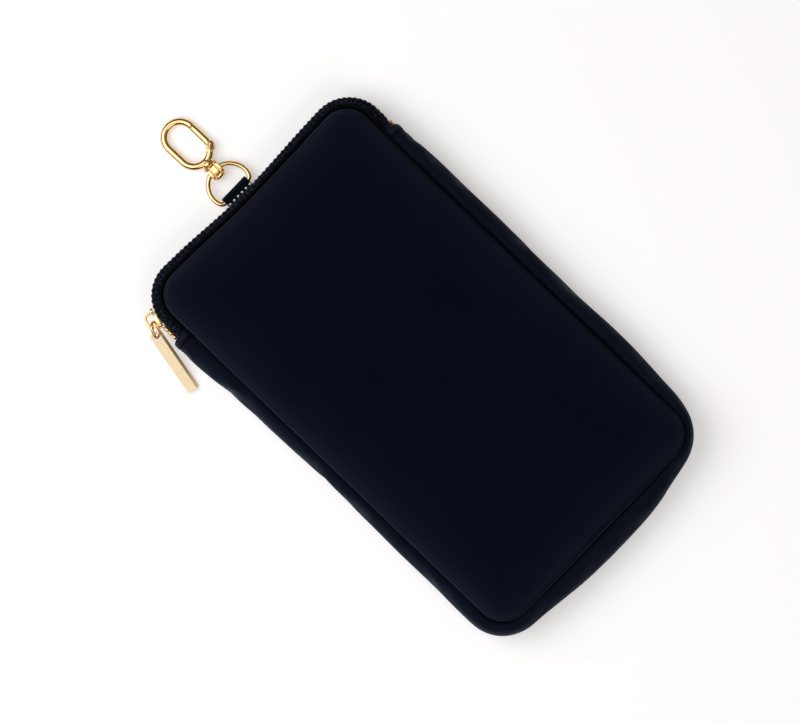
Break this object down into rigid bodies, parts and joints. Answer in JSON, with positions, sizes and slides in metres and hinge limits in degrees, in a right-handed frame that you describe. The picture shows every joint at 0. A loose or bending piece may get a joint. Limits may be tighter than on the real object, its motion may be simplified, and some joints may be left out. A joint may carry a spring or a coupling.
{
  "type": "phone pouch",
  "caption": "Padded zip-round phone pouch with a webbing tab, ring and swivel snap clasp; it holds a phone and clips to a bag or strap.",
  "frame": {"origin": "centre of the flat back panel, on the surface that the pouch lies on", "axes": "+Z out of the front panel, +Y towards the zip and the clasp, +X to the right seen from the front"},
  "size_m": [0.1332, 0.2429, 0.021],
  "materials": {
    "navy_fabric": "smooth matt knit over foam",
    "navy_lining": "plain weave",
    "foam": "soft closed-cell foam",
    "navy_binding": "ribbed tape",
    "navy_tape": "woven zip tape",
    "navy_webbing": "close woven webbing",
    "white_thread": "thick sewing thread",
    "gold_teeth": "bright gold",
    "gold_metal": "polished light gold plate",
    "spring_steel": "plain wire"
  },
  "bodies": {
    "pouch": {"front_panel": "navy_fabric", "back_panel": "navy_fabric", "front_padding": "foam", "back_padding": "foam", "front_lining": "navy_lining", "back_lining": "navy_lining", "gusset": "navy_fabric", "gusset_lining": "navy_lining", "front_binding": "navy_binding", "back_binding": "navy_binding", "end_tab_left": "navy_fabric", "end_tab_right": "navy_fabric", "zip_tape_front": "navy_tape", "zip_tape_back": "navy_tape", "zip_teeth_front": "gold_teeth", "zip_teeth_back": "gold_teeth", "zip_stop_left": "gold_teeth", "zip_stop_right": "gold_teeth", "ring_tab": "navy_webbing", "ring_tab_stitches": "white_thread"},
    "slider": {"zip_slider": "gold_metal", "slider_bridge": "gold_metal"},
    "link": {"puller_link": "gold_metal"},
    "tag": {"puller_tag": "gold_metal"},
    "ring": {"d_ring": "gold_metal"},
    "eye": {"swivel_eye": "gold_metal"},
    "clasp": {"swivel_rivet": "gold_metal", "clasp_frame": "gold_metal", "gate_pin": "gold_metal"},
    "gate": {"clasp_gate": "gold_metal", "gate_spring": "spring_steel"}
  },
  "joints": [
    {"name": "slider_travel", "type": "hinge", "parent": "pouch", "child": "slider", "pos_m": [-0.043, 0.084, 0.0102], "axis": [0, 0, -1], "range_deg": [0, 58]},
    {"name": "link_swing", "type": "hinge", "parent": "slider", "child": "link", "pos_m": [-0.06157, 0.08854, 0.0102], "axis": [0.1404, 0.264, -0.9543], "range_deg": [-2, 80]},
    {"name": "tag_swing", "type": "hinge", "parent": "link", "child": "tag", "pos_m": [-0.06443, 0.08315, 0.00829], "axis": [0.1404, 0.264, -0.9543], "range_deg": [-8, 50]},
    {"name": "ring_swing", "type": "hinge", "parent": "pouch", "child": "ring", "pos_m": [-0.002, 0.10101, 0.0032], "axis": [1, 0, 0], "range_deg": [-75, 80]},
    {"name": "eye_swing", "type": "hinge", "parent": "ring", "child": "eye", "pos_m": [-0.002, 0.11321, 0.0032], "axis": [-1, -0.0087, 0], "range_deg": [-75, 75]},
    {"name": "clasp_swivel", "type": "hinge", "parent": "eye", "child": "clasp", "pos_m": [-0.00203, 0.11621, 0.003], "axis": [-0.0087, 0.9978, -0.066], "continuous": true},
    {"name": "gate_open", "type": "hinge", "parent": "clasp", "child": "gate", "pos_m": [0.00418, 0.1213, 0.00267], "axis": [-0.0006, 0.066, 0.9978], "range_deg": [0, 32], "stiffness_Nm_per_rad": 0.01, "springref_deg": -17.19}
  ]
}
